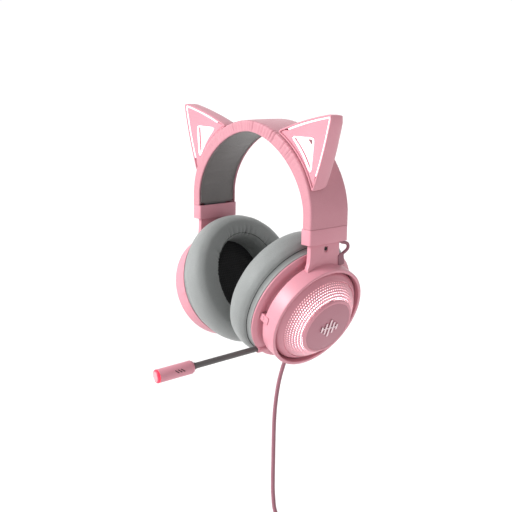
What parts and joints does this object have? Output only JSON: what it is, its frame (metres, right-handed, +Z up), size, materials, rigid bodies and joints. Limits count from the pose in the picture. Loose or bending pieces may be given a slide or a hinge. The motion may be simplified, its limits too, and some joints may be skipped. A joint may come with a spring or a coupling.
{
  "type": "gaming headset",
  "caption": "Over-ear gaming headset with a padded headband, lit cat ears, oval ear cushions, a slide-in boom microphone and a USB cord.",
  "frame": {"origin": "underside of the headband pad at the crown, where a head or a stand holds the headset up", "axes": "+X to the wearer's left, through both cups; -Y to the front, where the wearer looks; +Z up"},
  "size_m": [0.1908, 0.1821, 0.4285],
  "materials": {
    "pink_plastic": "pink moulded plastic with a satin surface",
    "pink_leatherette": "pink soft synthetic leather",
    "grey_leatherette": "grey soft synthetic leather over foam",
    "clear_light": "milky light guide",
    "red_light": "red light ring",
    "steel": "plain steel",
    "silver": "silver plated trim",
    "board": "white circuit board",
    "black_plastic": "black moulded plastic",
    "black_cloth": "black woven cloth",
    "grey_rubber": "dark grey soft rubber sleeve",
    "cord_jacket": "dusky pink flexible jacket",
    "film": "thin clear film"
  },
  "bodies": {
    "headband": {"headband_cover": "pink_leatherette", "headband_spring": "steel", "headband_pad": "grey_leatherette", "left_end_cap": "pink_plastic", "right_end_cap": "pink_plastic", "left_ear_shell": "pink_plastic", "right_ear_shell": "pink_plastic", "left_ear_outer_light": "clear_light", "right_ear_outer_light": "clear_light", "left_ear_face": "pink_plastic", "right_ear_face": "pink_plastic", "left_ear_inner_light": "clear_light", "right_ear_inner_light": "clear_light", "left_ear_led_board": "board", "right_ear_led_board": "board"},
    "left_arm": {"left_yoke": "pink_plastic", "left_slider_strip": "steel", "left_slider_screw": "steel", "left_jumper_cable": "cord_jacket"},
    "right_arm": {"right_yoke": "pink_plastic", "right_slider_strip": "steel", "right_slider_screw": "steel", "right_jumper_cable": "cord_jacket"},
    "left_cup": {"left_cup_base": "pink_plastic", "left_cup_grille": "pink_plastic", "left_light_diffuser": "clear_light", "left_light_board": "board", "left_cup_disc": "pink_plastic", "left_cup_emblem": "silver", "left_cushion_plate": "black_plastic", "left_driver_frame": "black_plastic", "left_driver_magnet": "steel", "left_driver_diaphragm": "film", "left_ear_cushion": "grey_leatherette", "left_ear_cloth": "black_cloth", "circuit_board": "board", "cord_gland": "cord_jacket", "usb_cord": "cord_jacket", "usb_cord_coil": "cord_jacket", "usb_cord_tie": "black_cloth", "usb_cord_tail": "cord_jacket", "usb_plug_body": "cord_jacket", "usb_plug_shell": "steel"},
    "right_cup": {"right_cup_base": "pink_plastic", "right_cup_grille": "pink_plastic", "right_light_diffuser": "clear_light", "right_light_board": "board", "right_cup_disc": "pink_plastic", "right_cup_emblem": "silver", "right_cushion_plate": "black_plastic", "right_driver_frame": "black_plastic", "right_driver_magnet": "steel", "right_driver_diaphragm": "film", "right_ear_cushion": "grey_leatherette", "right_ear_cloth": "black_cloth"},
    "microphone": {"mic_boom": "grey_rubber", "mic_capsule": "pink_plastic", "mic_light": "red_light"},
    "volume_wheel": {"volume_wheel": "black_plastic"},
    "mute_button": {"mute_button": "black_plastic"}
  },
  "joints": [
    {"name": "left_slider", "type": "slide", "parent": "headband", "child": "left_arm", "axis": [0, 0, -1], "range_m": [0, 0.025], "deforming": ["left_jumper_cable"]},
    {"name": "right_slider", "type": "slide", "parent": "headband", "child": "right_arm", "axis": [0, 0, -1], "range_m": [0, 0.025], "deforming": ["right_jumper_cable"]},
    {"name": "left_cup_tilt", "type": "hinge", "parent": "left_arm", "child": "left_cup", "pos_m": [0.05247, 0, -0.14044], "axis": [0, -1, 0], "range_deg": [-1, 4]},
    {"name": "right_cup_tilt", "type": "hinge", "parent": "right_arm", "child": "right_cup", "pos_m": [-0.05247, 0, -0.14044], "axis": [0, 1, 0], "range_deg": [-1, 4]},
    {"name": "microphone_slide", "type": "slide", "parent": "left_cup", "child": "microphone", "axis": [-0.1727, -0.9807, -0.0921], "range_m": [-0.04, 0]},
    {"name": "volume_wheel_turn", "type": "hinge", "parent": "left_cup", "child": "volume_wheel", "pos_m": [0.04212, 0.0416, -0.15199], "axis": [0.9331, 0, -0.3597], "range_deg": [-150, 150]},
    {"name": "mute_button_press", "type": "slide", "parent": "left_cup", "child": "mute_button", "axis": [-0.9331, 0, 0.3597], "range_m": [0, 0.0007], "stiffness_N_per_m": 1300}
  ]
}
